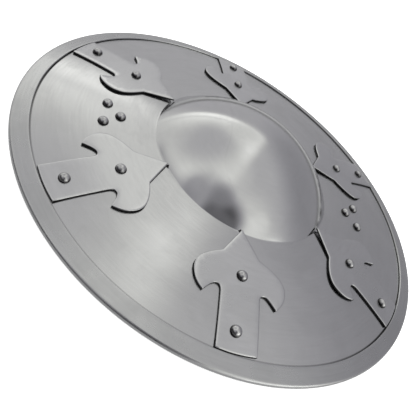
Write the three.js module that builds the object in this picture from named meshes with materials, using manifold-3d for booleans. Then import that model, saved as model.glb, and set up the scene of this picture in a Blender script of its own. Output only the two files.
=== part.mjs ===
// Buckler shield: a dished steel disc with a domed boss, a folded rim binding,
// six arrowhead plates riveted to the face, and a grip riveted across the back.
// Millimetres. +Z out of the face, X along the grip, origin under the centre, on the plane of the rim.

import * as THREE from 'three';
import Module from 'manifold-3d';
import { mergeVertices } from 'three/addons/utils/BufferGeometryUtils.js';

const wasm = await Module();
wasm.setup();

const gap = 0.3; // left between pieces that touch
const facets = 60; // round the disc and the binding
const smallFacets = 8; // round a rivet or its hole

// Disc and boss
const shieldRadius = 190; // over the binding
const sheet = 1.6; // the disc's thickness
const crownHeight = 21.8; // the face's height, carried on to the centre under the boss
const dishDrop = 19.7; // how far the face falls from the crown to the shield's radius
const bossRadius = 82.4;
const bossRise = 36.5; // the boss's top above its crease

// Binding
const bindingSheet = 1.4;
const bindingWidth = 13.4; // of each leg, in from the shield's edge

// Arrowhead plates
const plateSheet = 1.5;
const headRivetRadius = 120.8; // from the shield's centre
const tailRivetRadius = 161.7;
const plateBearings = [31.6, 88, 145.7, 207, 271.5, 331.6]; // degrees; spaced by eye, not evenly
const plateSkews = [0.5, 3.5, 1, 2.5, 0.5, 2.5]; // degrees off the radial line, about plateMiddle
const plateMiddle = 130;
const pointRadius = 81.5;
const shoulder = [104, 15]; // where each edge of the point meets its barb: along, across
const lobeTop = [124, 36.3];
const barbTip = [139.5, 28.6];
const notchEnd = [132, 17.5];
const tailStart = [137, 15.3];
const tailEnd = [175, 15.6];
const tailMiddle = 176.1; // its end bows out to follow the binding

// Rivets
const shankRadius = 2;
const holeRadius = 2.55;
const headRadius = 4.4;
const headHeight = 3.5;
const peenRadius = 3.4; // the closed end, on the back
const peenHeight = 1.4;

// Grip
const gripCentre = [2, 5.5]; // it sits a little off the shield's centre
const gripInnerRivet = 109.5; // from the grip's centre
const gripOuterRivet = 121.5;
const gripOuterSpread = 11.5; // half the distance between the two outer rivets
const gripSheet = 3; // thickness of its flat ends
const barThickness = 9;
const barHalfWidth = 12;
const barHalfLength = 56;
const barHeight = 9; // the bar's middle above the plane of the rim
const gripHalfLength = 129;
const gripEndHalfWidth = 18.5;

const radians = THREE.MathUtils.degToRad;

// The disc's face

function faceHeight(radius) {
  return crownHeight - dishDrop * (radius / shieldRadius) ** 3;
}

function faceSlope(radius) {
  // angle by which the face falls outwards
  return Math.atan((3 * dishDrop * radius ** 2) / shieldRadius ** 3);
}

// Geometry helpers

function range(start, end, steps) {
  return Array.from({ length: steps + 1 }, (_, i) => start + ((end - start) * i) / steps);
}

function offsetLine(points, distance) {
  // shifts an open line of [radius, height] points along its upward normal, mitred at corners
  return points.map(([radius, height], i) => {
    if (radius === 0) {
      return [0, height + distance];
    }
    const before = points[Math.max(i - 1, 0)];
    const after = points[Math.min(i + 1, points.length - 1)];
    const here = new THREE.Vector2(radius, height);
    const inbound = here.clone().sub(new THREE.Vector2(...before)).normalize();
    const outbound = new THREE.Vector2(...after).sub(here).normalize();
    const along = inbound.clone().add(outbound).normalize();
    const length = i > 0 && i < points.length - 1 ? along.dot(inbound) : 1;
    return [radius - (along.y * distance) / length, height + (along.x * distance) / length];
  });
}

function arc(centre, radius, start, end, steps) {
  return range(start, end, steps).map((angle) => [
    centre[0] + radius * Math.cos(angle),
    centre[1] + radius * Math.sin(angle),
  ]);
}

function lathe(profile, segments) {
  // profile: [radius, height] points, up the outside and back
  const points = profile.map(([radius, height]) => new THREE.Vector2(radius, height));
  return new THREE.LatheGeometry(points, segments).rotateX(Math.PI / 2);
}

function extrude(points, depth) {
  const shape = new THREE.Shape(points.map(([x, y]) => new THREE.Vector2(x, y)));
  return new THREE.ExtrudeGeometry(shape, { depth, bevelEnabled: false });
}

function toSolid(geometry) {
  const bare = geometry.clone();
  bare.deleteAttribute('normal');
  bare.deleteAttribute('uv');
  const merged = mergeVertices(bare, 1e-4);
  const mesh = new wasm.Mesh({
    numProp: 3,
    vertProperties: new Float32Array(merged.attributes.position.array),
    triVerts: new Uint32Array(merged.index.array),
  });
  return new wasm.Manifold(mesh);
}

function toGeometry(solid) {
  const mesh = solid.getMesh();
  const geometry = new THREE.BufferGeometry();
  geometry.setAttribute('position', new THREE.BufferAttribute(mesh.vertProperties, 3));
  geometry.setIndex(new THREE.BufferAttribute(mesh.triVerts, 1));
  geometry.computeVertexNormals();
  return geometry;
}

function drill(geometry, placements) {
  // cuts a rivet hole along the local Z of each placement
  let solid = toSolid(geometry);
  for (const placement of placements) {
    const hole = new THREE.CylinderGeometry(holeRadius, holeRadius, 30, smallFacets);
    hole.rotateX(Math.PI / 2).applyMatrix4(placement);
    solid = solid.subtract(toSolid(hole));
  }
  return toGeometry(solid);
}

function steel(color, roughness) {
  return new THREE.MeshStandardMaterial({ color, roughness, metalness: 1 });
}

// Rivet seats: local Z is the face's normal, the origin is on the face

function seatAt(x, y) {
  const radius = Math.hypot(x, y);
  const bearing = Math.atan2(y, x);
  const seat = new THREE.Matrix4().makeRotationZ(bearing);
  seat.multiply(new THREE.Matrix4().makeTranslation(radius, 0, faceHeight(radius)));
  seat.multiply(new THREE.Matrix4().makeRotationY(faceSlope(radius)));
  return seat;
}

function plateSeat(index, radius) {
  const bearing = radians(plateBearings[index]);
  return seatAt(radius * Math.cos(bearing), radius * Math.sin(bearing));
}

function gripSeats() {
  const seats = [];
  for (const side of [1, -1]) {
    seats.push(seatAt(gripCentre[0] + side * gripInnerRivet, gripCentre[1]));
    for (const spread of [-gripOuterSpread, gripOuterSpread]) {
      seats.push(seatAt(gripCentre[0] + side * gripOuterRivet, gripCentre[1] + spread));
    }
  }
  return seats;
}

// Shield disc with its boss, one sheet

function discGeometry() {
  const creaseHeight = faceHeight(bossRadius);
  const bossSphere = (bossRadius ** 2 + bossRise ** 2) / (2 * bossRise);
  const sphereHeight = creaseHeight + bossRise - bossSphere;
  const bossEdge = Math.acos(bossRadius / bossSphere);
  const boss = arc([0, sphereHeight], bossSphere, Math.PI / 2, bossEdge, 6);
  boss[0][0] = 0;
  const discRadius = shieldRadius - bindingSheet - gap - sheet;
  const dish = range(bossRadius, discRadius, 4).slice(1);
  const face = [...boss, ...dish.map((radius) => [radius, faceHeight(radius)])];
  const back = offsetLine(face, -sheet);
  return lathe([...back, ...face.reverse()], facets);
}

function makeDisc() {
  const seats = gripSeats();
  plateBearings.forEach((_, i) => {
    seats.push(plateSeat(i, headRivetRadius), plateSeat(i, tailRivetRadius));
  });
  const mesh = new THREE.Mesh(drill(discGeometry(), seats), steel(0xa3a5a6, 0.3));
  mesh.name = 'shield_disc';
  return mesh;
}

// Rim binding: a strip folded over the disc's edge, with a flat ring worn where it rests

function makeBinding() {
  const inside = sheet / 2 + gap;
  const outside = inside + bindingSheet;
  const lean = (sheet / 2) * Math.sin(faceSlope(shieldRadius)); // the sheet's middle lies in from its face
  const foldRadius = shieldRadius - outside + lean;
  const legs = range(shieldRadius - bindingWidth, foldRadius, 2);
  const middle = offsetLine(legs.map((radius) => [radius, faceHeight(radius)]), -sheet / 2);
  const fold = middle[middle.length - 1];
  const tilt = -faceSlope(foldRadius);
  const restAngle = Math.asin(fold[1] / outside); // where the fold's outside reaches the resting plane
  const over = [
    ...arc(fold, outside, Math.PI / 2 + tilt, 0, 3).slice(0, -1),
    ...arc(fold, outside, 0, -restAngle, 1),
  ];
  const below = offsetLine(middle, -outside);
  const [before, after] = below.slice(-2); // the back leg crosses the resting plane between these
  const crossing = before[0] + ((after[0] - before[0]) * before[1]) / (before[1] - after[1]);
  const under = [[crossing, 0], ...below.slice(0, -1).reverse()];
  const within = arc(fold, inside, tilt - Math.PI / 2, Math.PI / 2 + tilt, 2);
  const profile = [
    ...offsetLine(middle, outside).slice(0, -1),
    ...over,
    ...under,
    ...offsetLine(middle, -inside).slice(0, -1),
    ...within,
    ...offsetLine(middle, inside).reverse().slice(1),
  ];
  profile.push(profile[0]);
  const mesh = new THREE.Mesh(lathe(profile.reverse(), facets), steel(0xa9abac, 0.28));
  mesh.name = 'rim_binding';
  return mesh;
}

// Arrowhead plates

function plateOutline() {
  // one side from the point to the tail, then the other side mirrored
  const side = new THREE.Path();
  side.moveTo(pointRadius, 0);
  side.lineTo(...shoulder);
  side.bezierCurveTo(107.5, 23, 113, lobeTop[1], ...lobeTop);
  side.bezierCurveTo(130.5, lobeTop[1], 136.3, 33.2, ...barbTip);
  side.bezierCurveTo(134.5, 24, 130.5, 20.5, ...notchEnd);
  side.quadraticCurveTo(132.6, tailStart[1], ...tailStart);
  side.lineTo(...tailEnd);
  const half = side.getPoints(4).map((point) => [point.x, point.y]);
  const mirrored = half.slice(1).reverse().map(([x, y]) => [x, -y]);
  return [...half, [tailMiddle, 0], ...mirrored];
}

function plateProfile() {
  // follows the dish between its two rivets and runs on straight past them
  const stations = [pointRadius - 5, ...range(headRivetRadius, tailRivetRadius, 3), tailEnd[0] + 5];
  const under = stations.map((x) => {
    const seat = THREE.MathUtils.clamp(x, headRivetRadius, tailRivetRadius);
    return [x, faceHeight(seat) - Math.tan(faceSlope(seat)) * (x - seat) + gap];
  });
  return [...under, ...offsetLine(under, plateSheet).reverse()];
}

function makePlate(index) {
  const outline = extrude(plateOutline(), 60).translate(-plateMiddle, 0, -10);
  outline.rotateZ(radians(plateSkews[index])).translate(plateMiddle, 0, 0);
  const layer = extrude(plateProfile(), 100).rotateX(Math.PI / 2).translate(0, 50, 0);
  const blank = toGeometry(toSolid(outline).intersect(toSolid(layer)));
  const seats = [seatAt(headRivetRadius, 0), seatAt(tailRivetRadius, 0)];
  const mesh = new THREE.Mesh(drill(blank, seats), steel(0xb4b6b7, 0.3));
  mesh.name = `arrow_plate_${index + 1}`;
  mesh.rotation.z = radians(plateBearings[index]);
  return mesh;
}

// Rivets: a domed head in front, the shank, and a closed end behind

function rivetGeometry(headSeat, peenSeat) {
  // headSeat and peenSeat: heights of the head's and the closed end's bearing faces over the disc's face
  const profile = [
    [0, peenSeat - peenHeight],
    [peenRadius * 0.8, peenSeat - peenHeight * 0.8],
    [peenRadius, peenSeat],
    [shankRadius, peenSeat],
    [shankRadius, headSeat],
    [headRadius, headSeat],
    [headRadius * 0.76, headSeat + headHeight * 0.66],
    [0, headSeat + headHeight],
  ];
  return lathe(profile, smallFacets);
}

function makeRivet(name, seat, headSeat, peenSeat) {
  const mesh = new THREE.Mesh(rivetGeometry(headSeat, peenSeat), steel(0xb8b9ba, 0.3));
  mesh.name = name;
  mesh.applyMatrix4(seat);
  return mesh;
}

// Grip: one bar across the boss's hollow, flattened and widened at both ends

function gripTop(side) {
  // from the bar's middle out to one end, against the disc's back
  const barTop = barHeight + barThickness / 2;
  const ends = [95, 104, 112, 120, gripHalfLength].map((x) => {
    const radius = Math.hypot(side * x + gripCentre[0], gripOuterSpread + gripCentre[1]);
    return [x, faceHeight(radius) - sheet - 2 * gap];
  });
  return [[0, barTop], [barHalfLength, barTop], ...ends];
}

function gripProfile() {
  const halves = [1, -1].map((side) => {
    const top = gripTop(side);
    const bar = [0, 1].map((i) => [top[i][0], barHeight - barThickness / 2]);
    const under = [...bar, ...offsetLine(top.slice(2), -gripSheet)];
    return { top, under };
  });
  const flip = ([x, z]) => [-x, z];
  return [
    ...halves[0].top,
    ...halves[0].under.slice(1).reverse(),
    ...halves[1].under.map(flip),
    ...halves[1].top.slice(1).reverse().map(flip),
  ];
}

function gripOutline() {
  const half = [
    [gripHalfLength, gripEndHalfWidth],
    [gripHalfLength - 12, gripEndHalfWidth - 1.5],
    [100, 11],
    [88, 9.5],
    [barHalfLength, barHalfWidth],
  ];
  const front = [...half, ...half.map(([x, y]) => [-x, y]).reverse()];
  return [...front, ...front.map(([x, y]) => [x, -y]).reverse()];
}

function makeGrip() {
  const plan = extrude(gripOutline(), 60).translate(...gripCentre, -20);
  const side = extrude(gripProfile(), 60).rotateX(Math.PI / 2).translate(gripCentre[0], gripCentre[1] + 30, 0);
  const blank = toGeometry(toSolid(plan).intersect(toSolid(side)));
  const mesh = new THREE.Mesh(drill(blank, gripSeats()), steel(0x8f9192, 0.4));
  mesh.name = 'grip';
  return mesh;
}

const buckler = new THREE.Group();
buckler.add(makeDisc(), makeBinding(), makeGrip());

const overPlate = 2 * gap + plateSheet; // the head's seat on a plate
const underDisc = -sheet - gap;
plateBearings.forEach((_, i) => {
  buckler.add(makePlate(i));
  buckler.add(makeRivet(`head_rivet_${i + 1}`, plateSeat(i, headRivetRadius), overPlate, underDisc));
  buckler.add(makeRivet(`tail_rivet_${i + 1}`, plateSeat(i, tailRivetRadius), overPlate, underDisc));
});

const underGrip = underDisc - gripSheet - 3 * gap; // the grip's ends are straight across the curved back
gripSeats().forEach((seat, i) => {
  buckler.add(makeRivet(`grip_rivet_${i + 1}`, seat, gap, underGrip));
});

export default buckler;
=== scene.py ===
import math

import bmesh
import bpy
from mathutils import Matrix, Quaternion, Vector, noise
from mathutils.geometry import delaunay_2d_cdt


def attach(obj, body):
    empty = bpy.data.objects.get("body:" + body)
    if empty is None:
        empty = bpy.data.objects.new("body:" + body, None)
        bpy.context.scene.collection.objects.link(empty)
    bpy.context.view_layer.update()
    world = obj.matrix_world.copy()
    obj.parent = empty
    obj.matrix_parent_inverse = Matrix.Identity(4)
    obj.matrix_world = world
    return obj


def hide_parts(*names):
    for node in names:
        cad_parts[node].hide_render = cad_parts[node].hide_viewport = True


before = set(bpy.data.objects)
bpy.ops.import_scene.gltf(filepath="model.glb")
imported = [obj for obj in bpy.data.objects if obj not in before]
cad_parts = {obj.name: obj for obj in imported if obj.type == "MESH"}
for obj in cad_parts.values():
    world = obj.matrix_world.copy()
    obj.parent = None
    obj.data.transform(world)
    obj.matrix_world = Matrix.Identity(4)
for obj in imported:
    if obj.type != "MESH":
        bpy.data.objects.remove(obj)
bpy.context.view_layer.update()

# The buckler's own sizes, in metres, as in its solids
buckler = {
    "shieldRadius": 0.190,
    "discRadius": 0.1867,
    "sheet": 0.0016,
    "crownHeight": 0.0218,
    "dishDrop": 0.0197,
    "bossRadius": 0.0824,
    "bossRise": 0.0365,
    "gap": 0.0003,
    "headRivetRadius": 0.1208,
    "tailRivetRadius": 0.1617,
    "plateSheet": 0.0015,
    "plateBearings": (31.6, 88.0, 145.7, 207.0, 271.5, 331.6),
    "gripCentre": (0.002, 0.0055),
    "gripInnerRivet": 0.1095,  # from the grip's centre
    "gripOuterRivet": 0.1215,
    "gripOuterSpread": 0.0115,
    "gripSheet": 0.003,
}

# near-black painted shade, laid round the feet of rivet heads and along the binding's inner edge
paintedShadeTone = (0.02, 0.02, 0.02, 1)


def faceHeight(radius):
    return buckler["crownHeight"] - buckler["dishDrop"] * (radius / buckler["shieldRadius"]) ** 3


def faceSlope(radius):
    # angle by which the face falls outwards
    return math.atan(3 * buckler["dishDrop"] * radius**2 / buckler["shieldRadius"] ** 3)


# Small helpers for node trees and meshes


def put(tree, kind, inputs=None, **settings):
    node = tree.nodes.new(kind)
    for name, value in settings.items():
        setattr(node, name, value)
    for key, value in (inputs or {}).items():
        if isinstance(value, bpy.types.NodeSocket):
            tree.links.new(value, node.inputs[key])
        else:
            node.inputs[key].default_value = value
    return node


def calc(tree, operation, *values, clamp=False):
    node = put(tree, "ShaderNodeMath", dict(enumerate(values)), operation=operation, use_clamp=clamp)
    return node.outputs[0]


def ramp(tree, value, low, high, start=0.0, end=1.0):
    # a smooth step from start to end as the value goes from low to high
    names = {"Value": value, "From Min": low, "From Max": high, "To Min": start, "To Max": end}
    return put(tree, "ShaderNodeMapRange", names, interpolation_type="SMOOTHSTEP").outputs[0]


def blendValue(tree, factor, a, b):
    return put(tree, "ShaderNodeMix", {0: factor, 2: a, 3: b}, data_type="FLOAT").outputs[0]


def blendColour(tree, factor, a, b, mode="MIX"):
    node = put(tree, "ShaderNodeMix", {0: factor, 6: a, 7: b}, data_type="RGBA", blend_type=mode)
    return node.outputs[2]


def vector(tree, x, y, z):
    return put(tree, "ShaderNodeCombineXYZ", {0: x, 1: y, 2: z}).outputs[0]


def newGroup(name, kind, inputs, outputs):
    # inputs and outputs: (name, socket type, default or None)
    tree = bpy.data.node_groups.new(name, kind)
    for label, socket, default in inputs:
        made = tree.interface.new_socket(label, in_out="INPUT", socket_type=socket)
        if default is not None:
            made.default_value = default
    for label, socket in outputs:
        tree.interface.new_socket(label, in_out="OUTPUT", socket_type=socket)
    return tree, tree.nodes.new("NodeGroupInput"), tree.nodes.new("NodeGroupOutput")


def newObject(name, mesh):
    made = bpy.data.objects.new(name, mesh)
    bpy.context.scene.collection.objects.link(made)
    return made


def finishMesh(mesh, sharpAngle=38):
    mesh.shade_smooth()
    mesh.set_sharp_from_angle(angle=math.radians(sharpAngle))
    mesh.update()


def applyModifiers(item):
    # bakes the modifiers into a plain mesh
    graph = bpy.context.evaluated_depsgraph_get()
    baked = bpy.data.meshes.new_from_object(item.evaluated_get(graph), depsgraph=graph)
    item.modifiers.clear()
    old = item.data
    item.data = baked
    baked.name = item.name
    bpy.data.meshes.remove(old)
    return item


def setInputs(modifier, values):
    sockets = {s.name: s.identifier for s in modifier.node_group.interface.items_tree
               if s.item_type == "SOCKET" and s.in_out == "INPUT"}
    for name, value in values.items():
        modifier[sockets[name]] = value


def dress(item, material, slot, *nodes):
    if not item.data.materials:
        item.data.materials.append(material)
    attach(item, "root")
    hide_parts(*nodes)


def direction(azimuth, elevation):
    # unit vector towards a place in the room, from angles in degrees
    azimuth, elevation = math.radians(azimuth), math.radians(elevation)
    return Vector((math.cos(azimuth) * math.cos(elevation), math.sin(azimuth) * math.cos(elevation),
                   math.sin(elevation)))


# Camera

cameraSettings = {
    "aim": (0.0290, 0.0602, 0.0114),
    "azimuth": 65.56,
    "elevation": 39.35,
    "distance": 0.4212,
    "roll": 37.5,
    "lens": 47.43,
}


def makeCamera(settings):
    data = bpy.data.cameras.new("camera")
    data.lens = settings["lens"]
    data.sensor_width = 36
    data.clip_start = 0.01
    camera = newObject("camera", data)
    back = direction(settings["azimuth"], settings["elevation"])
    camera.location = Vector(settings["aim"]) + back * settings["distance"]
    camera.rotation_mode = "QUATERNION"
    roll = Quaternion((0, 0, 1), math.radians(settings["roll"]))
    camera.rotation_quaternion = (-back).to_track_quat("-Z", "Y") @ roll
    bpy.context.scene.camera = camera


# Studio: soft panels in a grey room, a pale floor

studio = {
    "surround": 1.0,
    "zenith": 0.85,
    "zenithReach": (0.85, 0.97),
    "wallFacing": 248,
    "wallReach": (-0.577, 0.213),
    "wallTop": (1.04, 0.945),
    "wall": (0.55, 0.62),  # low down and high up
    "wallHeights": (0.5, 0.9),
    "panelEdge": ((245, 44.7), (297, 18)),  # azimuth and elevation of two points on its lower edge
    "panelSoft": (-0.128, -0.075),
    "panelFacing": 339,
    "panelSide": (-0.13, 0.05),
    "panel": 1.30,
    "strip": 1.68,  # the panel's edge is its brightest part
    "stripReach": (0.5, 0.12),
    "seam": 0.7,  # a thin dark line along the panel's edge
    "seamAt": 0.005,
    "seamHalfWidth": (0.02, 0.004),
    "seamSide": (0.02, 0.12),
    "seamTone": 0.1,
    "nearSide": 0.07,  # the unlit side of the room
    "nearFacing": 41.3,
    "nearReach": (0.324, 0.736),
    "nearTop": (0.812, 0.412),
    "spots": (
        # azimuth, elevation, inner and outer half angle, brightness
        (43.7, 53, 6.6, 28.5, 0.585),
        (85.3, 46.8, 1.3, 25.8, 0.016),
        (81.6, 33.7, 16, 23, 0.20),
        (139.5, 7.3, 18, 24, 1.8),
        (309.3, 53, 0.5, 38.9, 0.60),
        (323.6, 4.1, 5.6, 45.4, 0.77),
        (345.1, 10.5, 7.3, 21.6, 0.11),
        (207.5, 10.1, 10.4, 50.4, 0.36),
        (32.3, 52.3, 7.7, 13, 0.48),
        (69.6, 63.9, 0.3, 15, 0.31),
        (135.3, 43.9, 0.7, 12.8, 1.03),
        (260, 44.9, 0.5, 16.2, 0.89),
    ),
    "dimTint": (0.98, 0.966, 1.03, 1),
    "brightTint": (1.0, 1.0, 0.965, 1),
    "tintReach": (0.3, 0.9),
    "backdrop": 1.0,
    "fill": 26.0,
    "fillSize": 2.4,
    "fillHeight": 1.6,
    "floorRadius": 4,
    "floorTone": (0.93, 0.93, 0.925, 1),
    "floorGlow": 0.6,
    "floorMirrored": (0.33, 0.55),  # in reflections the floor is pale up to here, dark beyond
    "floorMirroredGlow": (0.5, 0.15),
}


def makeStudio(settings):
    world = bpy.data.worlds.new("studio")
    bpy.context.scene.world = world
    world.use_nodes = True
    tree = world.node_tree
    tree.nodes.clear()
    toward = put(tree, "ShaderNodeTexCoord").outputs["Generated"]

    def facing(normal):
        node = put(tree, "ShaderNodeVectorMath", {0: toward, 1: tuple(normal)}, operation="DOT_PRODUCT")
        return node.outputs[1]

    height = facing((0, 0, 1))
    first, second = [direction(*point) for point in settings["panelEdge"]]
    edge = first.cross(second).normalized()
    overEdge = facing(edge if edge.z > 0 else -edge)
    side = facing(direction(settings["panelFacing"], 0))
    wallSide = facing(direction(settings["wallFacing"], 0))
    nearSide = facing(direction(settings["nearFacing"], 0))
    level = ramp(tree, height, *settings["zenithReach"], settings["surround"], settings["zenith"])
    wall = calc(tree, "MULTIPLY", ramp(tree, wallSide, *settings["wallReach"]),
                ramp(tree, height, *settings["wallTop"]))
    panel = calc(tree, "MULTIPLY", ramp(tree, overEdge, *settings["panelSoft"]),
                 ramp(tree, side, *settings["panelSide"]))
    wallTone = ramp(tree, height, *settings["wallHeights"], *settings["wall"])
    panelTone = ramp(tree, overEdge, *settings["stripReach"], settings["panel"], settings["strip"])
    level = blendValue(tree, wall, level, blendValue(tree, panel, wallTone, panelTone))
    fromSeam = calc(tree, "ABSOLUTE", calc(tree, "SUBTRACT", overEdge, settings["seamAt"]))
    seam = calc(tree, "MULTIPLY", ramp(tree, fromSeam, *settings["seamHalfWidth"]),
                ramp(tree, side, *settings["seamSide"]))
    level = blendValue(tree, calc(tree, "MULTIPLY", seam, settings["seam"]), level, settings["seamTone"])
    for azimuth, elevation, inner, outer, brightness in settings["spots"]:
        around = ramp(tree, facing(direction(azimuth, elevation)), math.cos(math.radians(outer)),
                      math.cos(math.radians(inner)))
        level = blendValue(tree, around, level, brightness)
    near = calc(tree, "MULTIPLY", ramp(tree, nearSide, *settings["nearReach"]),
                ramp(tree, height, *settings["nearTop"]))
    level = blendValue(tree, near, level, settings["nearSide"])
    tintShare = ramp(tree, level, *settings["tintReach"])
    tint = blendColour(tree, tintShare, settings["dimTint"], settings["brightTint"])
    shown = put(tree, "ShaderNodeLightPath").outputs["Is Camera Ray"]
    colour = blendColour(tree, shown, tint, (1, 1, 1, 1))
    strength = blendValue(tree, shown, level, settings["backdrop"])
    background = put(tree, "ShaderNodeBackground", {"Color": colour, "Strength": strength})
    put(tree, "ShaderNodeOutputWorld", {"Surface": background.outputs[0]})

    light = bpy.data.lights.new("fill", "AREA")
    light.shape = "DISK"
    light.size = settings["fillSize"]
    light.energy = settings["fill"]
    fill = newObject("fill", light)
    fill.location.z = settings["fillHeight"]
    fill.visible_glossy = False

    mesh = bpy.data.meshes.new("floor")
    work = bmesh.new()
    bmesh.ops.create_circle(work, cap_ends=True, segments=96, radius=settings["floorRadius"])
    work.to_mesh(mesh)
    work.free()
    floor = newObject("floor", mesh)
    floor.location.z = -0.0002
    material = bpy.data.materials.new("floorPaint")
    material.use_nodes = True
    tree = material.node_tree
    tree.nodes.clear()
    place = put(tree, "ShaderNodeTexCoord").outputs["Object"]
    radius = polarCoordinates(tree, place)[0]
    mirrored = put(tree, "ShaderNodeLightPath").outputs["Is Glossy Ray"]
    glow = ramp(tree, radius, *settings["floorMirrored"], *settings["floorMirroredGlow"])
    shader = put(tree, "ShaderNodeBsdfPrincipled", {
        "Base Color": blendColour(tree, mirrored, settings["floorTone"], (0, 0, 0, 1)), "Roughness": 0.8,
        "Emission Color": (1, 1, 1, 1),
        "Emission Strength": blendValue(tree, mirrored, settings["floorGlow"], glow)})
    put(tree, "ShaderNodeOutputMaterial", {"Surface": shader.outputs[0]})
    mesh.materials.append(material)
    bpy.context.scene.view_settings.view_transform = "Standard"


# Effects that several finishes share


def makeGrainGroup():
    # fine lines left by polishing: Across runs over the lines, Along follows them
    tree, given, made = newGroup(
        "polishingGrain", "ShaderNodeTree",
        [("Across", "NodeSocketFloat", 0.0), ("Along", "NodeSocketFloat", 0.0),
         ("Fineness", "NodeSocketFloat", 900.0), ("Length", "NodeSocketFloat", 12.0),
         ("Seed", "NodeSocketFloat", 0.0)],
        [("Lines", "NodeSocketFloat"), ("Bands", "NodeSocketFloat")])
    across, along = given.outputs["Across"], given.outputs["Along"]
    fine = vector(tree, calc(tree, "MULTIPLY", across, given.outputs["Fineness"]),
                  calc(tree, "MULTIPLY", along, given.outputs["Length"]), given.outputs["Seed"])
    lines = put(tree, "ShaderNodeTexNoise", {"Vector": fine, "Scale": 1.0, "Detail": 3.0, "Roughness": 0.6})
    coarseness = calc(tree, "MULTIPLY", given.outputs["Fineness"], 0.16)
    reach = calc(tree, "MULTIPLY", given.outputs["Length"], 0.35)
    broad = vector(tree, calc(tree, "MULTIPLY", across, coarseness), calc(tree, "MULTIPLY", along, reach),
                   given.outputs["Seed"])
    bands = put(tree, "ShaderNodeTexNoise", {"Vector": broad, "Scale": 1.0, "Detail": 2.0, "Roughness": 0.5})
    tree.links.new(lines.outputs[0], made.inputs["Lines"])
    tree.links.new(bands.outputs[0], made.inputs["Bands"])
    return tree


def makeMarksGroup():
    # soft smudges and sparse thin scratches
    tree, given, made = newGroup(
        "handlingMarks", "ShaderNodeTree",
        [("Vector", "NodeSocketVector", None), ("Smudge Scale", "NodeSocketFloat", 24.0),
         ("Scratch Scale", "NodeSocketFloat", 40.0), ("Seed", "NodeSocketFloat", 0.0)],
        [("Smudge", "NodeSocketFloat"), ("Scratch", "NodeSocketFloat")])
    moved = put(tree, "ShaderNodeVectorMath", {0: given.outputs["Vector"], 1: given.outputs["Seed"]},
                operation="ADD").outputs[0]
    cloud = put(tree, "ShaderNodeTexNoise", {"Vector": moved, "Scale": given.outputs["Smudge Scale"],
                                             "Detail": 4.0, "Roughness": 0.55, "Distortion": 0.4})
    smudge = ramp(tree, cloud.outputs[0], 0.42, 0.68)
    scratch = None
    for turn, stretch in ((0.5, 0.06), (2.1, 0.05)):
        turned = put(tree, "ShaderNodeMapping", {"Vector": moved, "Rotation": (0, 0, turn),
                                                 "Scale": (1.0, stretch, 1.0)}).outputs[0]
        field = put(tree, "ShaderNodeTexNoise", {"Vector": turned, "Scale": given.outputs["Scratch Scale"],
                                                 "Detail": 1.0, "Roughness": 0.4}).outputs[0]
        thin = calc(tree, "ABSOLUTE", calc(tree, "SUBTRACT", field, 0.5))
        line = ramp(tree, thin, 0.006, 0.0)
        gateScale = calc(tree, "MULTIPLY", given.outputs["Scratch Scale"], 0.45)
        gate = put(tree, "ShaderNodeTexNoise", {
            "Vector": turned, "Scale": gateScale, "Detail": 0.0}).outputs[0]
        line = calc(tree, "MULTIPLY", line, ramp(tree, gate, 0.60, 0.70))
        scratch = line if scratch is None else calc(tree, "MAXIMUM", scratch, line)
    tree.links.new(smudge, made.inputs["Smudge"])
    tree.links.new(scratch, made.inputs["Scratch"])
    return tree


groups = {"grain": makeGrainGroup(), "marks": makeMarksGroup()}


def polarCoordinates(tree, place):
    # radius and bearing round the shield's centre
    parts = put(tree, "ShaderNodeSeparateXYZ", {0: place})
    radius = calc(tree, "SQRT", calc(tree, "ADD", calc(tree, "MULTIPLY", parts.outputs[0], parts.outputs[0]),
                                     calc(tree, "MULTIPLY", parts.outputs[1], parts.outputs[1])))
    bearing = calc(tree, "ARCTAN2", parts.outputs[1], parts.outputs[0])
    return radius, bearing, parts


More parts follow.
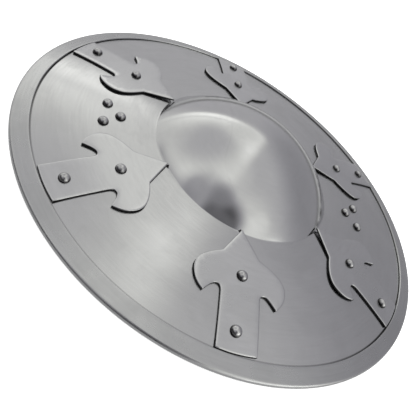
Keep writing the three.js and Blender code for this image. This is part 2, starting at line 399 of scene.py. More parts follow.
def makeSteel(name, settings, polar=True):
    # polar: polished round the shield's centre, else along the piece's own UV map
    material = bpy.data.materials.new(name)
    material.use_nodes = True
    tree = material.node_tree
    tree.nodes.clear()
    place = put(tree, "ShaderNodeTexCoord").outputs["Object"]
    radius, bearing, parts = polarCoordinates(tree, place)
    if polar:
        across, along = radius, bearing
        tangent = vector(tree, parts.outputs[0], parts.outputs[1], 0.0)
    else:
        uv = put(tree, "ShaderNodeUVMap", uv_map="grain")
        grainParts = put(tree, "ShaderNodeSeparateXYZ", {0: uv.outputs[0]})
        across, along = grainParts.outputs[0], grainParts.outputs[1]
        tangent = put(tree, "ShaderNodeTangent", direction_type="UV_MAP", uv_map="grain").outputs[0]
    grain = put(tree, "ShaderNodeGroup", node_tree=groups["grain"])
    for key, value in {"Across": across, "Along": along}.items():
        tree.links.new(value, grain.inputs[key])
    grain.inputs["Fineness"].default_value = settings["fineness"]
    grain.inputs["Length"].default_value = settings["length"]
    grain.inputs["Seed"].default_value = settings["seed"]
    marks = put(tree, "ShaderNodeGroup", node_tree=groups["marks"])
    tree.links.new(place, marks.inputs["Vector"])
    marks.inputs["Smudge Scale"].default_value = settings["smudgeScale"]
    marks.inputs["Seed"].default_value = settings["seed"]
    tone = blendColour(tree, calc(tree, "MULTIPLY", grain.outputs["Bands"], settings["bandTone"]),
                       settings["light"], settings["dark"])
    tone = blendColour(tree, calc(tree, "MULTIPLY", grain.outputs["Lines"], settings["lineTone"]),
                       tone, settings["dark"])
    tone = blendColour(tree, calc(tree, "MULTIPLY", marks.outputs["Smudge"], settings["smudge"]),
                       tone, settings["dark"])
    tone = blendColour(tree, calc(tree, "MULTIPLY", marks.outputs["Scratch"], settings["scratch"]),
                       tone, settings["scratchTone"])
    if "footShade" in settings:
        # painted shade round the foot of a rivet's head, a dark outline standing in for its contact shadow
        foot = put(tree, "ShaderNodeAttribute", attribute_name="foot").outputs["Fac"]
        tone = blendColour(tree, calc(tree, "MULTIPLY", foot, settings["footShade"]), tone, paintedShadeTone)
    if "bindingShade" in settings:
        # painted shade where the face meets the binding, a dark line standing in for the gap under the strip,
        # weakest on the near side
        aside = calc(tree, "COSINE", calc(tree, "SUBTRACT", bearing, math.radians(settings["leastShadeSide"])))
        strength = ramp(tree, aside, 0.2, 0.95, 0.95, 0.3)
        bindingEdgeShade = calc(tree, "MULTIPLY", ramp(tree, radius, *settings["bindingShade"]), strength)
        tone = blendColour(tree, bindingEdgeShade, tone, paintedShadeTone)
    stray = calc(tree, "SUBTRACT", grain.outputs["Lines"], 0.5)
    rough = calc(tree, "ADD", settings["roughness"], calc(tree, "MULTIPLY", stray, settings["grainRough"]))
    rough = calc(tree, "ADD", rough, calc(tree, "MULTIPLY", marks.outputs["Smudge"], settings["smudgeRough"]),
                 clamp=True)
    height = calc(tree, "ADD", calc(tree, "MULTIPLY", grain.outputs["Lines"], settings["grainDepth"]),
                  calc(tree, "MULTIPLY", marks.outputs["Scratch"], -settings["scratchDepth"]))
    bump = put(tree, "ShaderNodeBump", {"Strength": 1.0, "Distance": 1.0, "Height": height})
    shader = put(tree, "ShaderNodeBsdfPrincipled", {
        "Base Color": tone, "Metallic": 1.0, "Roughness": rough, "Anisotropic": settings["anisotropy"],
        "Tangent": tangent, "Normal": bump.outputs[0]})
    put(tree, "ShaderNodeOutputMaterial", {"Surface": shader.outputs[0]})
    return material


def makeShadedEdge(name, settings):
    # sheared edge, rough, with the file's short strokes; its near-black tone is painted shade for the dark
    # line of wall, gap and shadow under a plate's edge
    material = bpy.data.materials.new(name)
    material.use_nodes = True
    tree = material.node_tree
    tree.nodes.clear()
    place = put(tree, "ShaderNodeTexCoord").outputs["Object"]
    strokes = put(tree, "ShaderNodeMapping", {"Vector": place, "Scale": settings["strokes"]}).outputs[0]
    field = put(tree, "ShaderNodeTexNoise", {"Vector": strokes, "Scale": 1.0, "Detail": 3.0}).outputs[0]
    colour = blendColour(tree, field, settings["light"], settings["dark"])
    rough = ramp(tree, field, 0.3, 0.7, *settings["roughness"])
    bump = put(tree, "ShaderNodeBump", {"Strength": 0.5, "Distance": 0.0001, "Height": field})
    shader = put(tree, "ShaderNodeBsdfPrincipled", {
        "Base Color": colour, "Metallic": 0.7, "Roughness": rough, "Normal": bump.outputs[0]})
    put(tree, "ShaderNodeOutputMaterial", {"Surface": shader.outputs[0]})
    return material


# Shield disc with its boss

discSettings = {
    "rings": 130,
    "segments": 240,
    "crowding": 0.75,  # rings drawn together at the crease
    "crowdAt": 0.4664,
    "crease": 0.0004,
    "unevenness": 0.00012,
    "unevenScale": 22.0,
    "unevenSeed": 3.0,
}

discFinish = {
    "fineness": 600.0, "length": 5.0, "seed": 1.0, "smudgeScale": 26.0,
    "light": (0.645, 0.648, 0.653, 1), "dark": (0.40, 0.403, 0.41, 1), "scratchTone": (0.35, 0.35, 0.35, 1),
    "bandTone": 0.25, "smudge": 0.2, "scratch": 0.12, "roughness": 0.20, "grainRough": 0.06,
    "smudgeRough": 0.04, "grainDepth": 0.000003, "scratchDepth": 0.000006, "anisotropy": 0.83,
    # a painted shade line just inside the binding, weakest at bearing 65
    "bindingShade": (0.1752, 0.1761), "leastShadeSide": 65,
    "lineTone": 0.32,
}

bossFinish = {
    "fineness": 420.0, "length": 4.0, "seed": 2.0, "smudgeScale": 30.0,
    "light": (0.64, 0.643, 0.648, 1), "dark": (0.40, 0.403, 0.41, 1), "scratchTone": (0.35, 0.35, 0.35, 1),
    "bandTone": 0.15, "smudge": 0.15, "scratch": 0.12, "roughness": 0.14, "grainRough": 0.04,
    "smudgeRough": 0.04, "grainDepth": 0.000001, "scratchDepth": 0.000006, "anisotropy": 0.37,
    "lineTone": 0.22,
}


def makeDiscTree():
    tree, given, made = newGroup(
        "pressedDisc", "GeometryNodeTree",
        [("Geometry", "NodeSocketGeometry", None), ("Rings", "NodeSocketInt", 100),
         ("Segments", "NodeSocketInt", 200), ("Disc Radius", "NodeSocketFloat", 0.19),
         ("Shield Radius", "NodeSocketFloat", 0.19), ("Crown Height", "NodeSocketFloat", 0.02),
         ("Dish Drop", "NodeSocketFloat", 0.02), ("Boss Sphere", "NodeSocketFloat", 0.11),
         ("Boss Sphere Height", "NodeSocketFloat", -0.05), ("Crease", "NodeSocketFloat", 0.001),
         ("Crowding", "NodeSocketFloat", 0.7), ("Crowd At", "NodeSocketFloat", 0.46),
         ("Unevenness", "NodeSocketFloat", 0.0001), ("Uneven Scale", "NodeSocketFloat", 20.0),
         ("Seed", "NodeSocketFloat", 0.0), ("Boss Radius", "NodeSocketFloat", 0.08),
         ("Dish Material", "NodeSocketMaterial", None), ("Boss Material", "NodeSocketMaterial", None)],
        [("Geometry", "NodeSocketGeometry")])
    value = given.outputs
    rows = calc(tree, "ADD", value["Segments"], 1)
    grid = put(tree, "GeometryNodeMeshGrid", {"Size X": 1.0, "Size Y": 1.0, "Vertices X": value["Rings"],
                                              "Vertices Y": rows})
    parts = put(tree, "ShaderNodeSeparateXYZ", {0: put(tree, "GeometryNodeInputPosition").outputs[0]})
    outward = calc(tree, "ADD", parts.outputs[0], 0.5)
    turn = calc(tree, "MULTIPLY", calc(tree, "ADD", parts.outputs[1], 0.5), math.tau)
    # rings are drawn together where the boss meets the dish
    crowd = calc(tree, "MULTIPLY", value["Crowding"], 1 / math.tau)
    fromCrease = calc(tree, "MULTIPLY", calc(tree, "SUBTRACT", outward, value["Crowd At"]), math.tau)
    wave = calc(tree, "ADD", calc(tree, "SINE", fromCrease),
                calc(tree, "SINE", calc(tree, "MULTIPLY", value["Crowd At"], math.tau)))
    share = calc(tree, "SUBTRACT", outward, calc(tree, "MULTIPLY", crowd, wave))
    radius = calc(tree, "MULTIPLY", share, value["Disc Radius"])
    x = calc(tree, "MULTIPLY", radius, calc(tree, "COSINE", turn))
    y = calc(tree, "MULTIPLY", radius, calc(tree, "SINE", turn))
    cube = calc(tree, "POWER", calc(tree, "DIVIDE", radius, value["Shield Radius"]), 3.0)
    dish = calc(tree, "SUBTRACT", value["Crown Height"], calc(tree, "MULTIPLY", cube, value["Dish Drop"]))
    squared = calc(tree, "SUBTRACT", calc(tree, "MULTIPLY", value["Boss Sphere"], value["Boss Sphere"]),
                   calc(tree, "MULTIPLY", radius, radius))
    dome = calc(tree, "ADD", value["Boss Sphere Height"],
                calc(tree, "SQRT", calc(tree, "MAXIMUM", squared, 0.0)))
    face = calc(tree, "SMOOTH_MAX", dish, dome, value["Crease"])
    flat = vector(tree, x, y, value["Seed"])
    cloud = put(tree, "ShaderNodeTexNoise", {"Vector": flat, "Scale": value["Uneven Scale"], "Detail": 1.0})
    lift = calc(tree, "MULTIPLY", calc(tree, "SUBTRACT", cloud.outputs[0], 0.5), value["Unevenness"])
    # the sheet is even where the binding grips it
    fade = ramp(tree, radius, 0.183, 0.175)
    height = calc(tree, "ADD", face, calc(tree, "MULTIPLY", lift, calc(tree, "MULTIPLY", fade, 2.0)))
    moved = put(tree, "GeometryNodeSetPosition", {
        "Geometry": grid.outputs[0], "Position": vector(tree, x, y, height)})
    joined = put(tree, "GeometryNodeMergeByDistance", {"Geometry": moved.outputs[0], "Distance": 1e-6})
    smooth = put(tree, "GeometryNodeSetShadeSmooth", {"Geometry": joined.outputs[0]})
    plain = put(tree, "GeometryNodeRealizeInstances", {"Geometry": smooth.outputs[0]})
    dishFinish = put(tree, "GeometryNodeSetMaterial", {"Geometry": plain.outputs[0],
                                                       "Material": value["Dish Material"]})
    place = put(tree, "ShaderNodeVectorMath", {0: put(tree, "GeometryNodeInputPosition").outputs[0],
                                               1: (1, 1, 0)}, operation="MULTIPLY")
    reach = put(tree, "ShaderNodeVectorMath", {0: place.outputs[0]}, operation="LENGTH").outputs["Value"]
    onBoss = calc(tree, "LESS_THAN", reach, value["Boss Radius"])
    finish = put(tree, "GeometryNodeSetMaterial", {"Geometry": dishFinish.outputs[0], "Selection": onBoss,
                                                   "Material": value["Boss Material"]})
    tree.links.new(finish.outputs[0], made.inputs["Geometry"])
    return tree


def makeDisc(settings, material, bossMaterial):
    rise, radius = buckler["bossRise"], buckler["bossRadius"]
    sphere = (radius**2 + rise**2) / (2 * rise)
    disc = newObject("shieldDisc", bpy.data.meshes.new("shieldDisc"))
    shape = disc.modifiers.new("pressedDisc", "NODES")
    shape.node_group = makeDiscTree()
    setInputs(shape, {
        "Rings": settings["rings"], "Segments": settings["segments"], "Disc Radius": buckler["discRadius"],
        "Shield Radius": buckler["shieldRadius"], "Crown Height": buckler["crownHeight"],
        "Dish Drop": buckler["dishDrop"], "Boss Sphere": sphere,
        "Boss Sphere Height": faceHeight(radius) + rise - sphere, "Crease": settings["crease"],
        "Crowding": settings["crowding"], "Crowd At": settings["crowdAt"],
        "Unevenness": settings["unevenness"], "Uneven Scale": settings["unevenScale"],
        "Seed": settings["unevenSeed"], "Boss Radius": radius, "Dish Material": material,
        "Boss Material": bossMaterial,
    })
    applyModifiers(disc)
    wall = disc.modifiers.new("sheet", "SOLIDIFY")
    wall.thickness = buckler["sheet"]
    wall.offset = -1
    wall.use_even_offset = True
    applyModifiers(disc)
    finishMesh(disc.data, 60)
    dress(disc, material, "disc_steel", "shield_disc")
    return disc


# Rim binding: a strip folded over the disc's edge

bindingSettings = {
    "segments": 360,
    "strip": 0.0014,
    "width": 0.0134,
    "round": 0.0006,  # softened edges of the strip
    "waver": 0.00022,  # how far its inner edge strays
    "seed": 5.0,
}

bindingFinish = {
    "fineness": 500.0, "length": 5.0, "seed": 7.0, "smudgeScale": 34.0,
    "light": (0.62, 0.624, 0.63, 1), "dark": (0.34, 0.344, 0.35, 1), "scratchTone": (0.35, 0.35, 0.35, 1),
    "bandTone": 0.25, "smudge": 0.2, "scratch": 0.1, "roughness": 0.26, "grainRough": 0.06,
    "smudgeRough": 0.06, "grainDepth": 0.0, "scratchDepth": 0.000004, "anisotropy": 0.6,
    "lineTone": 0.5,
}


def offsetLine(points, distance):
    # shifts an open line of (radius, height) points along its upward normal
    shifted = []
    for i, (radius, height) in enumerate(points):
        before, after = points[max(i - 1, 0)], points[min(i + 1, len(points) - 1)]
        along = Vector((after[0] - before[0], after[1] - before[1])).normalized()
        shifted.append((radius - along.y * distance, height + along.x * distance))
    return shifted


def arcPoints(centre, radius, start, end, steps):
    angles = [start + (end - start) * i / steps for i in range(steps + 1)]
    return [(centre[0] + radius * math.cos(a), centre[1] + radius * math.sin(a)) for a in angles]


def latheMesh(name, profile, segments, shift):
    # profile: closed loop of (radius, height); shift gives the radius of a point at a bearing
    work = bmesh.new()
    rings = []
    for step in range(segments):
        bearing = math.tau * step / segments
        ring = []
        for radius, height in profile:
            radius = shift(radius, bearing)
            ring.append(work.verts.new((radius * math.cos(bearing), radius * math.sin(bearing), height)))
        rings.append(ring)
    for step in range(segments):
        here, following = rings[step], rings[(step + 1) % segments]
        for i in range(len(profile)):
            j = (i + 1) % len(profile)
            work.faces.new((here[i], following[i], following[j], here[j]))
    bmesh.ops.recalc_face_normals(work, faces=work.faces)
    mesh = bpy.data.meshes.new(name)
    work.to_mesh(mesh)
    work.free()
    return mesh


def makeBinding(settings, material):
    sheet, gap, strip = buckler["sheet"], buckler["gap"], settings["strip"]
    inside, outside = sheet / 2 + gap, sheet / 2 + gap + strip
    edge = buckler["shieldRadius"]
    lean = sheet / 2 * math.sin(faceSlope(edge))
    foldRadius = edge - outside + lean
    start = edge - settings["width"]
    radii = [start + (foldRadius - start) * i / 6 for i in range(7)]
    middle = offsetLine([(r, faceHeight(r)) for r in radii], -sheet / 2)
    fold = middle[-1]
    tilt = -faceSlope(foldRadius)
    restAngle = math.asin(fold[1] / outside)
    soft = settings["round"]
    direct = Vector((middle[1][0] - middle[0][0], middle[1][1] - middle[0][1])).normalized()

    def legEnd(outer, inner):
        # the rounded end of one leg, from its outer to its inner side
        points = []
        for share, pull in ((0.0, 0.0), (0.08, 0.55), (0.3, 0.9), (0.6, 1.0), (1.0, 0.9)):
            side = outer + (inner - outer) * share
            base = (middle[0][0] - direct.y * side, middle[0][1] + direct.x * side)
            back = soft * (1 - pull)
            points.append((base[0] + direct.x * back, base[1] + direct.y * back))
        return points

    top = offsetLine(middle, outside)
    low = offsetLine(middle, -outside)
    belowFloor = [p for p in low if p[1] > 0]
    last, following = belowFloor[-1], low[len(belowFloor)]
    crossing = last[0] + (following[0] - last[0]) * last[1] / (last[1] - following[1])
    profile = [
        *legEnd(outside, inside)[::-1],
        *top[1:-1],
        *arcPoints(fold, outside, math.pi / 2 + tilt, -restAngle, 18),
        (crossing, 0.0),
        *belowFloor[1:][::-1],
        *legEnd(-outside, -inside),
        *offsetLine(middle, -inside)[1:-1],
        *arcPoints(fold, inside, tilt - math.pi / 2, math.pi / 2 + tilt, 8),
        *offsetLine(middle, inside)[1:-1][::-1],
    ]

    def shift(radius, bearing):
        around = Vector((math.cos(bearing), math.sin(bearing), 0)) * 4
        stray = noise.noise(around + Vector((settings["seed"], 0, 0))) + 0.5 * noise.noise(around * 3.1)
        inner = max(0.0, min(1.0, (0.183 - radius) / 0.006))
        return radius + stray * settings["waver"] * inner

    mesh = latheMesh("rimBinding", profile, settings["segments"], shift)
    finishMesh(mesh, 40)
    binding = newObject("rimBinding", mesh)
    dress(binding, material, "binding_steel", "rim_binding")
    return binding


# Arrowhead plates

plateSettings = {
    "middle": 0.130,
    "skews": (0.5, 3.5, 1.0, 2.5, 0.5, 2.5),
    "pointRadius": 0.0815,
    "shoulder": (0.104, 0.015),
    "curves": (
        # two guides and the end of each curve
        ((0.1075, 0.023), (0.113, 0.0363), (0.124, 0.0363)),
        ((0.1305, 0.0363), (0.1363, 0.0332), (0.1395, 0.0286)),
        ((0.1345, 0.024), (0.1305, 0.0205), (0.132, 0.0175)),
        ((0.1324, 0.01603), (0.13407, 0.0153), (0.137, 0.0153)),
    ),
    "tailEnd": (0.175, 0.0156),
    "tailMiddle": 0.1761,  # the tail's end bows out to follow the binding
    "edgeWidth": 0.0011,  # how far in the edge is worn down, and how deep
    "edgeDrop": 0.0005,
    "edgeProfile": ((0.62, 0.12), (0.34, 0.36), (0.1, 0.7), (0.0, 1.0)),  # shares of width and drop
    "shadeSkirt": 0.00025,  # the edge's dark wall runs on down to the dish, painted shadow over the gap under the plate
    "spacing": 0.0035,
    "warp": 0.00018,
}

plateFinish = {
    "fineness": 420.0, "length": 60.0, "seed": 11.0, "smudgeScale": 34.0,
    "light": (0.68, 0.683, 0.69, 1), "dark": (0.42, 0.423, 0.43, 1), "scratchTone": (0.36, 0.36, 0.36, 1),
    "bandTone": 0.15, "smudge": 0.2, "scratch": 0.2, "roughness": 0.22, "grainRough": 0.04,
    "smudgeRough": 0.05, "grainDepth": 0.0, "scratchDepth": 0.000006, "anisotropy": 0.15,
    "lineTone": 0.35,
}


# the strokes are real file marks, the near-black tones are painted shade on the plates' edge walls
shadedEdgeFinish = {
    "strokes": (700, 700, 160),
    "light": (0.05, 0.05, 0.052, 1), "dark": (0.0175, 0.0175, 0.0182, 1),
    "roughness": (0.5, 0.7),
}


def bezier(start, guideA, guideB, end, steps):
    points = []
    for i in range(1, steps + 1):
        t = i / steps
        s = 1 - t
        points.append(tuple(s**3 * a + 3 * s * s * t * b + 3 * s * t * t * c + t**3 * d
                            for a, b, c, d in zip(start, guideA, guideB, end)))
    return points


def linePoints(start, end, steps):
    return [tuple(a + (b - a) * i / steps for a, b in zip(start, end)) for i in range(1, steps + 1)]


def plateOutline(settings):
    # counter-clockwise from the point, one side mirrored to the other
    half = [(settings["pointRadius"], 0.0)]
    half += linePoints(half[-1], settings["shoulder"], 8)
    for curve in settings["curves"]:
        half += bezier(half[-1], *curve, 12)
    half += linePoints(half[-1], settings["tailEnd"], 10)
    tail = settings["tailEnd"]
    bow = settings["tailMiddle"] - tail[0]
    end = [(x + bow * (1 - (y / tail[1]) ** 2), y) for x, y in linePoints(tail, (tail[0], -tail[1]), 10)]
    other = [(x, -y) for x, y in half[:0:-1]]
    loop = half + end[:-1] + other
    return loop[::-1]


def insetLoop(loop, distance):
    # moves a counter-clockwise loop inwards
    moved = []
    for i, point in enumerate(loop):
        before, after = Vector(loop[i - 1]), Vector(loop[(i + 1) % len(loop)])
        here = Vector(point)
        inbound, outbound = (here - before).normalized(), (after - here).normalized()
        normal = Vector((-(inbound.y + outbound.y), inbound.x + outbound.x)).normalized()
        mitre = max(0.45, normal.dot(Vector((-inbound.y, inbound.x))))
        moved.append(tuple(here + normal * (distance / mitre)))
    return moved


def insideLoop(x, y, loop):
    inside = False
    for (ax, ay), (bx, by) in zip(loop, loop[1:] + loop[:1]):
        if (ay > y) != (by > y) and x < (bx - ax) * (y - ay) / (by - ay) + ax:
            inside = not inside
    return inside


def plateSeat(x):
    # a plate follows the dish between its rivets and runs straight past them
    return min(max(x, buckler["headRivetRadius"]), buckler["tailRivetRadius"])


def plateRise(x):
    # height of a plate's underside
    seat = plateSeat(x)
    return faceHeight(seat) - math.tan(faceSlope(seat)) * (x - seat) + buckler["gap"]


def makePlate(index, settings, material, shadedEdgeMaterial):
    name = f"arrowPlate{index + 1}"
    soft, edgeDrop, thick = settings["edgeWidth"], settings["edgeDrop"], buckler["plateSheet"]
    outline = plateOutline(settings)
    top = insetLoop(outline, soft)
    guard = insetLoop(outline, soft + 0.0012)
    points = [Vector(p) for p in top]
    step = settings["spacing"]
    for i in range(int(0.1 / step)):
        for j in range(-12, 13):
            x, y = 0.08 + step * (i + 0.5 * (j % 2)), step * j
            if insideLoop(x, y, guard):
                points.append(Vector((x, y)))
    count = len(top)
    edges = [(i, (i + 1) % count) for i in range(count)]
    flat, _, triangles, origins, _, _ = delaunay_2d_cdt(points, edges, [], 1, 1e-7)
    home = {source: i for i, sources in enumerate(origins) for source in sources}

    turn = Matrix.Rotation(math.radians(settings["skews"][index]), 2)
    bearing = Matrix.Rotation(math.radians(buckler["plateBearings"][index]), 3, "Z")
    middle = Vector((settings["middle"], 0))

    def place(point, drop):
        # skewed about the plate's middle, bent to the dish, then turned to its bearing
        x, y = turn @ (Vector(point[:2]) - middle) + middle
        waver = noise.noise(Vector((x * 26, y * 26, index * 7.3))) * settings["warp"]
        z = plateRise(x) + (thick - drop) / math.cos(faceSlope(plateSeat(x))) + waver
        return bearing @ Vector((x, y, z))

    work = bmesh.new()
    grain = work.loops.layers.uv.new("grain")
    local = {}

    def addVert(point, drop):
        vert = work.verts.new(place(point, drop))
        local[vert] = (point[0], point[1])
        return vert

    upper = [addVert(p, 0.0) for p in flat]
    lower = [addVert(p, thick) for p in flat]
    for triangle in triangles:
        work.faces.new([upper[i] for i in triangle])
        work.faces.new([lower[i] for i in reversed(triangle)])
    rings = [[upper[home[i]] for i in range(count)]]
    for inset, fall in settings["edgeProfile"]:
        rings.append([addVert(p, edgeDrop * fall) for p in insetLoop(outline, soft * inset)])
    rings.append([addVert(p, thick + settings["shadeSkirt"]) for p in outline])
    rings.append([lower[home[i]] for i in range(count)])
    for level, (above, below) in enumerate(zip(rings, rings[1:])):
        for i in range(count):
            j = (i + 1) % count
            face = work.faces.new((above[j], above[i], below[i], below[j]))
            # the wall and its skirt take the near-black edge material, painted shade
            face.material_index = 1 if level >= len(settings["edgeProfile"]) else 0
    for face in work.faces:
        for loop in face.loops:
            loop[grain].uv = local[loop.vert]
    bmesh.ops.recalc_face_normals(work, faces=work.faces)
    mesh = bpy.data.meshes.new(name)
    work.to_mesh(mesh)
    work.free()
    mesh.materials.append(material)
    mesh.materials.append(shadedEdgeMaterial)
    finishMesh(mesh, 50)
    plate = newObject(name, mesh)
    dress(plate, material, "plate_steel", f"arrow_plate_{index + 1}")
    return plate


# Rivets

rivetSettings = {
    "headRadius": 0.0044,
    "headHeight": 0.0035,
    "shankRadius": 0.002,
    "peenRadius": 0.0034,
    "peenHeight": 0.0014,
    "segments": 32,
    "sizeSpread": 0.03,
    "tilt": 2.5,
    "dents": 0.00012,
    "seed": 4,
}

rivetFinish = {
    "fineness": 500.0, "length": 40.0, "seed": 17.0, "smudgeScale": 220.0,
    "light": (0.60, 0.60, 0.605, 1), "dark": (0.34, 0.34, 0.345, 1), "scratchTone": (0.3, 0.3, 0.3, 1),
    "bandTone": 0.3, "smudge": 0.5, "scratch": 0.0, "roughness": 0.18, "grainRough": 0.04,
    "smudgeRough": 0.08, "grainDepth": 0.0, "scratchDepth": 0.00001, "anisotropy": 0.0,
    "footShade": 0.92,  # how dark the painted shade at the head's foot is
    "lineTone": 0.1,
}


def rivetMesh(name, settings, headSeat, peenSeat):
    # local Z is the rivet's axis, its origin is on the disc's face
    radius, height = settings["headRadius"], settings["headHeight"]
    sphere = (radius**2 + height**2) / (2 * height)
    spread = math.acos(1 - height / sphere)
    profile = [(0.0, headSeat + height)]
    for i in range(1, 11):
        angle = spread * i / 10
        profile.append((sphere * math.sin(angle), headSeat + height - sphere * (1 - math.cos(angle))))
    profile += [(radius * 0.99, headSeat), (settings["shankRadius"], headSeat),
                (settings["shankRadius"], peenSeat), (settings["peenRadius"], peenSeat)]
    peen, depth = settings["peenRadius"], settings["peenHeight"]
    profile += [(peen, peenSeat - depth * 0.35), (peen * 0.8, peenSeat - depth * 0.8),
                (peen * 0.45, peenSeat - depth * 0.97), (0.0, peenSeat - depth)]
    work = bmesh.new()
    for a, b in zip(profile, profile[1:]):
        work.edges.new([work.verts.new((a[0], 0, a[1])), work.verts.new((b[0], 0, b[1]))])
    bmesh.ops.spin(work, geom=work.verts[:] + work.edges[:], axis=(0, 0, 1), cent=(0, 0, 0),
                   angle=math.tau, steps=settings["segments"], use_merge=True)
    bmesh.ops.remove_doubles(work, verts=work.verts, dist=1e-6)
    bmesh.ops.dissolve_degenerate(work, edges=work.edges, dist=1e-7)
    bmesh.ops.recalc_face_normals(work, faces=work.faces)
    mesh = bpy.data.meshes.new(name)
    work.to_mesh(mesh)
    work.free()
    # foot marks the rim of the head, which the rivet material darkens as painted shade
    foot = mesh.attributes.new("foot", "FLOAT", "POINT")
    for i, vert in enumerate(mesh.vertices):
        reach = math.hypot(vert.co.x, vert.co.y) / radius if vert.co.z > headSeat - 1e-6 else 0.0
        foot.data[i].value = min(max((reach - 0.72) / 0.22, 0.0), 1.0)
    return mesh


def makeRivetTree():
    tree, given, made = newGroup(
        "setRivets", "GeometryNodeTree",
        [("Geometry", "NodeSocketGeometry", None), ("Rivet", "NodeSocketObject", None),
         ("Size Spread", "NodeSocketFloat", 0.03), ("Tilt", "NodeSocketFloat", 2.0),
         ("Dents", "NodeSocketFloat", 0.0001), ("Seed", "NodeSocketInt", 0),
         ("Material", "NodeSocketMaterial", None)],
        [("Geometry", "NodeSocketGeometry")])
    value = given.outputs
    source = put(tree, "GeometryNodeObjectInfo", {"Object": value["Rivet"]})
    axis = put(tree, "GeometryNodeInputNamedAttribute", {"Name": "axis"}, data_type="FLOAT_VECTOR")
    low = calc(tree, "MULTIPLY", value["Tilt"], -math.pi / 180)
    high = calc(tree, "MULTIPLY", value["Tilt"], math.pi / 180)
    sway = put(tree, "FunctionNodeRandomValue", {
        0: vector(tree, low, low, 0.0), 1: vector(tree, high, high, 0.0), "Seed": value["Seed"]},
        data_type="FLOAT_VECTOR")
    aimed = put(tree, "FunctionNodeAlignRotationToVector", {"Vector": axis.outputs[0]}, axis="Z")
    leaning = put(tree, "FunctionNodeRotateRotation", {0: aimed.outputs[0], 1: sway.outputs[0]},
                  rotation_space="LOCAL")
    smallest = calc(tree, "SUBTRACT", 1.0, value["Size Spread"])
    sizeSeed = calc(tree, "ADD", value["Seed"], 9)
    size = put(tree, "FunctionNodeRandomValue", {2: smallest, 3: 1.0, "Seed": sizeSeed}, data_type="FLOAT")
    rivets = put(tree, "GeometryNodeInstanceOnPoints", {
        "Points": value["Geometry"], "Instance": source.outputs["Geometry"], "Rotation": leaning.outputs[0],
        "Scale": size.outputs[1]})
    plain = put(tree, "GeometryNodeRealizeInstances", {"Geometry": rivets.outputs[0]})
    field = put(tree, "ShaderNodeTexNoise", {"Vector": put(tree, "GeometryNodeInputPosition").outputs[0],
                                             "Scale": 210.0, "Detail": 1.0})
    depth = calc(tree, "MULTIPLY", calc(tree, "SUBTRACT", field.outputs[0], 0.5), value["Dents"])
    normal = put(tree, "GeometryNodeInputNormal").outputs[0]
    push = put(tree, "ShaderNodeVectorMath", {0: normal, "Scale": depth}, operation="SCALE")
    dented = put(tree, "GeometryNodeSetPosition", {"Geometry": plain.outputs[0], "Offset": push.outputs[0]})
    whole = put(tree, "GeometryNodeRealizeInstances", {"Geometry": dented.outputs[0]})
    finish = put(tree, "GeometryNodeSetMaterial", {
        "Geometry": whole.outputs[0], "Material": value["Material"]})
    tree.links.new(finish.outputs[0], made.inputs["Geometry"])
    return tree


def makeRivets(name, settings, tree, places, headSeat, peenSeat, material, nodes):
    master = newObject("rivetPattern", rivetMesh("rivetPattern", settings, headSeat, peenSeat))
    mesh = bpy.data.meshes.new(name)
    mesh.from_pydata([(x, y, faceHeight(math.hypot(x, y))) for x, y in places], [], [])
    axis = mesh.attributes.new("axis", "FLOAT_VECTOR", "POINT")
    for i, (x, y) in enumerate(places):
        bearing, slope = math.atan2(y, x), faceSlope(math.hypot(x, y))
        axis.data[i].vector = (math.sin(slope) * math.cos(bearing), math.sin(slope) * math.sin(bearing),
                               math.cos(slope))
    rivets = newObject(name, mesh)
    setting = rivets.modifiers.new("setRivets", "NODES")
    setting.node_group = tree
    setInputs(setting, {"Rivet": master, "Size Spread": settings["sizeSpread"], "Tilt": settings["tilt"],
                        "Dents": settings["dents"], "Seed": settings["seed"], "Material": material})
    applyModifiers(rivets)
    bpy.data.objects.remove(master)
    finishMesh(rivets.data, 50)
    dress(rivets, material, "rivet_steel", *nodes)
    return rivets


def plateRivetPlaces():
    places = []
    for bearing in buckler["plateBearings"]:
        for radius in (buckler["headRivetRadius"], buckler["tailRivetRadius"]):
            angle = math.radians(bearing)
            places.append((radius * math.cos(angle), radius * math.sin(angle)))
    return places


def gripRivetPlaces():
    centre = buckler["gripCentre"]
    places = []
    for side in (1, -1):
        places.append((centre[0] + side * buckler["gripInnerRivet"], centre[1]))
        for spread in (-buckler["gripOuterSpread"], buckler["gripOuterSpread"]):
            places.append((centre[0] + side * buckler["gripOuterRivet"], centre[1] + spread))
    return places


# Grip, across the boss's hollow

gripSettings = {
    "halfLength": 0.129,
    "widths": ((0.0, 0.012), (0.056, 0.012), (0.088, 0.0095), (0.100, 0.0108), (0.117, 0.0168),
               (0.125, 0.0182), (0.129, 0.0160)),
    "barTop": 0.0135,
    "barBase": 0.0045,
    "bendStart": 0.056,  # the bar rises from here to its flat ends
    "bendLength": 0.039,
    "hammer": 0.00025,
    "stations": 96,
    "around": 40,
    "seed": 2.0,
}

gripFinish = {
    "fineness": 420.0, "length": 90.0, "seed": 23.0, "smudgeScale": 45.0,
    "light": (0.48, 0.485, 0.49, 1), "dark": (0.30, 0.30, 0.305, 1), "scratchTone": (0.25, 0.25, 0.25, 1),
    "bandTone": 0.5, "smudge": 0.5, "scratch": 0.4, "roughness": 0.42, "grainRough": 0.15,
    "smudgeRough": 0.1, "grainDepth": 0.00002, "scratchDepth": 0.00003, "anisotropy": 0.2,
    "lineTone": 0.4,
}


def easeBetween(x, stops):
    for (a, low), (b, high) in zip(stops, stops[1:]):
        if x <= b:
            t = (x - a) / (b - a)
            t = t * t * (3 - 2 * t)
            return low + (high - low) * t
    return stops[-1][1]


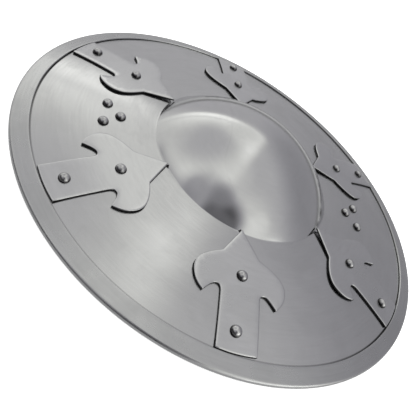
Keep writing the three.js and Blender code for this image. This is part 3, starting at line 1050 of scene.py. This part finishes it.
def gripSection(x, settings):
    # half width, top, base and squareness at a distance from the grip's middle
    side, reach = (1 if x >= 0 else -1), abs(x)
    centre = buckler["gripCentre"]
    width = easeBetween(reach, settings["widths"])
    flatReach = max(reach, settings["bendStart"] + settings["bendLength"])
    across = math.hypot(side * flatReach + centre[0], buckler["gripOuterSpread"] + centre[1])
    endTop = faceHeight(across) - buckler["sheet"] - 2 * buckler["gap"] - 0.00005
    bend = min(max((reach - settings["bendStart"]) / settings["bendLength"], 0.0), 1.0)
    top = settings["barTop"] + (endTop - settings["barTop"]) * bend
    thick = settings["barTop"] - settings["barBase"]
    base = top - (thick + (buckler["gripSheet"] - 0.0001 - thick) * min(bend * 1.15, 1.0))
    return width, top, base, 2.4 + 4.6 * bend


def makeGrip(settings, material):
    work = bmesh.new()
    grain = work.loops.layers.uv.new("grain")
    local, rings = {}, []
    count, around = settings["stations"], settings["around"]
    centre = buckler["gripCentre"]
    for i in range(count + 1):
        share = -1 + 2 * i / count
        x = settings["halfLength"] * share
        width, top, base, square = gripSection(x, settings)
        ring = []
        for j in range(around):
            angle = math.tau * j / around
            c, s = math.cos(angle), math.sin(angle)
            y = width * math.copysign(abs(c) ** (2 / square), c)
            z = (top + base) / 2 + (top - base) / 2 * math.copysign(abs(s) ** (2 / square), s)
            hammer = noise.noise(Vector((x * 70, y * 70, z * 70 + settings["seed"]))) * settings["hammer"]
            z -= abs(hammer) * (1 if z > (top + base) / 2 else -1)
            vert = work.verts.new((centre[0] + x, centre[1] + y, z))
            local[vert] = (y, x)
            ring.append(vert)
        rings.append(ring)
    for here, following in zip(rings, rings[1:]):
        for j in range(around):
            k = (j + 1) % around
            work.faces.new((here[j], following[j], following[k], here[k]))
    work.faces.new(rings[0])
    work.faces.new(rings[-1][::-1])
    for face in work.faces:
        for loop in face.loops:
            loop[grain].uv = local[loop.vert]
    bmesh.ops.recalc_face_normals(work, faces=work.faces)
    mesh = bpy.data.meshes.new("gripBar")
    work.to_mesh(mesh)
    work.free()
    finishMesh(mesh, 40)
    grip = newObject("gripBar", mesh)
    dress(grip, material, "grip_steel", "grip")
    return grip


# Putting it together

print("camera and studio")
makeCamera(cameraSettings)
makeStudio(studio)

print("shield disc")
makeDisc(discSettings, makeSteel("turnedDiscSteel", discFinish), makeSteel("polishedBossSteel", bossFinish))

print("rim binding")
makeBinding(bindingSettings, makeSteel("bindingSteel", bindingFinish))

print("arrowhead plates")
plateSteel = makeSteel("plateSteel", plateFinish, polar=False)
shearedEdge = makeShadedEdge("shearedEdge", shadedEdgeFinish)
for number in range(6):
    makePlate(number, plateSettings, plateSteel, shearedEdge)

print("rivets")
rivetSteel = makeSteel("rivetSteel", rivetFinish)
rivetTree = makeRivetTree()
overPlate = 2 * buckler["gap"] + buckler["plateSheet"]
underDisc = -buckler["sheet"] - buckler["gap"]
underGrip = underDisc - buckler["gripSheet"] - 3 * buckler["gap"]
makeRivets("plateRivets", rivetSettings, rivetTree, plateRivetPlaces(), overPlate, underDisc, rivetSteel,
           [f"{part}_rivet_{i}" for part in ("head", "tail") for i in range(1, 7)])
makeRivets("gripRivets", rivetSettings, rivetTree, gripRivetPlaces(), buckler["gap"], underGrip, rivetSteel,
           [f"grip_rivet_{i}" for i in range(1, 7)])

print("grip")
makeGrip(gripSettings, makeSteel("forgedGripSteel", gripFinish, polar=False))
